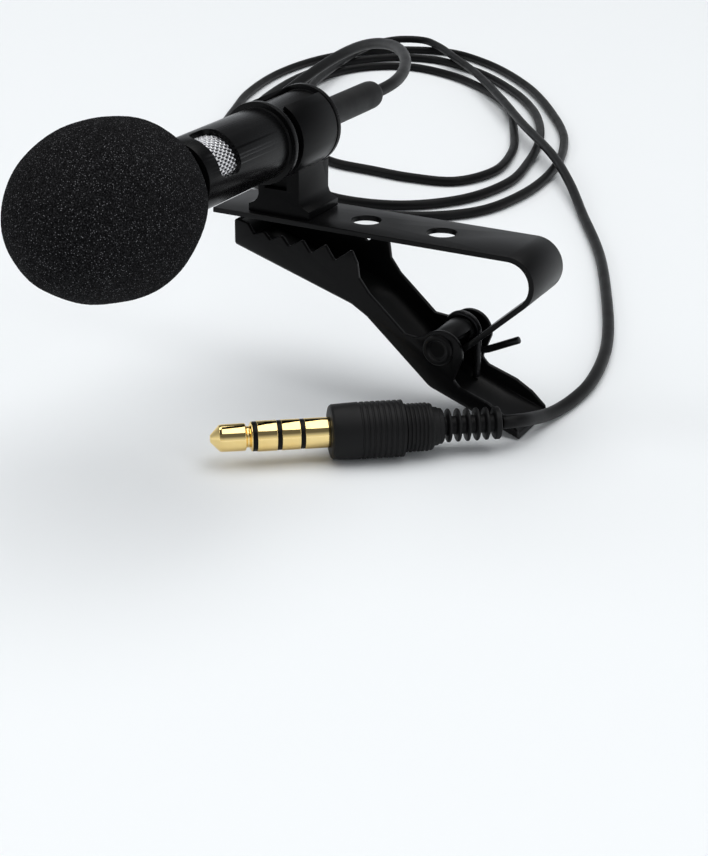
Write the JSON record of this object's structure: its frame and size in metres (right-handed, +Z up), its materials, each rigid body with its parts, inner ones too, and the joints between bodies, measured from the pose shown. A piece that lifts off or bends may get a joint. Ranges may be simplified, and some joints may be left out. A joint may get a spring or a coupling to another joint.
{
  "type": "lavalier microphone",
  "caption": "Miniature barrel microphone with a foam ball windscreen, held in a ring on a sprung toothed tie clip, with a thin coiled cable ending in a slim gilded jack plug",
  "frame": {"origin": "centre of the clip and microphone's box in plan, on the table that the lever tip stands on", "axes": "+X along the clip's plate from its front tip to its U-bend; +Y along the microphone's axis from the windscreen to the cable; +Z up, square to the plate"},
  "size_m": [0.1212, 0.2376, 0.0412],
  "materials": {
    "foam": "open-cell foam, matte charcoal",
    "barrel_paint": "satin black",
    "grille_steel": "bright woven or punched mesh",
    "soft_rubber": "matte black",
    "capsule_can": "plain",
    "board": "solder-masked board",
    "felt": "black felt",
    "cable_rubber": "matte black",
    "holder_plastic": "satin black moulding",
    "clip_paint": "black electrophoretic coat, satin",
    "spring_steel": "blackened spring wire",
    "gold_plate": "polished gold plate",
    "plug_insulation": "black"
  },
  "bodies": {
    "jaw": {"clip_jaw": "clip_paint", "pivot_pin": "clip_paint", "torsion_spring": "spring_steel", "cable": "cable_rubber", "plug_tip": "gold_plate", "plug_core": "plug_insulation", "plug_insulator_1": "plug_insulation", "plug_ring_1": "gold_plate", "plug_insulator_2": "plug_insulation", "plug_ring_2": "gold_plate", "plug_insulator_3": "plug_insulation", "plug_sleeve": "gold_plate", "plug_boot": "cable_rubber"},
    "strip": {"clip_strip": "clip_paint", "holder": "holder_plastic", "holder_rivet": "clip_paint"},
    "mic": {"mic_barrel": "barrel_paint", "front_neck": "barrel_paint", "grille_mesh": "grille_steel", "capsule_seat": "soft_rubber", "electret_capsule": "capsule_can", "capsule_board": "board", "front_felt": "felt", "front_cap": "barrel_paint", "rear_cap": "barrel_paint", "cable_sleeve": "cable_rubber"},
    "windscreen": {"windscreen": "foam"}
  },
  "joints": [
    {"name": "jaw_hinge", "type": "hinge", "parent": "jaw", "child": "strip", "pos_m": [0.0099, 0.01505, 0.00935], "axis": [0, 1, 0], "range_deg": [0, 22], "stiffness_Nm_per_rad": 0.06, "springref_deg": -57.3, "deforming": ["torsion_spring"]},
    {"name": "mic_spin", "type": "hinge", "parent": "strip", "child": "mic", "pos_m": [-0.0119, 0.01045, 0.03185], "axis": [0, 1, 0], "continuous": true},
    {"name": "windscreen_slide", "type": "slide", "parent": "mic", "child": "windscreen", "axis": [0, -1, 0], "range_m": [0, 0.012]}
  ]
}
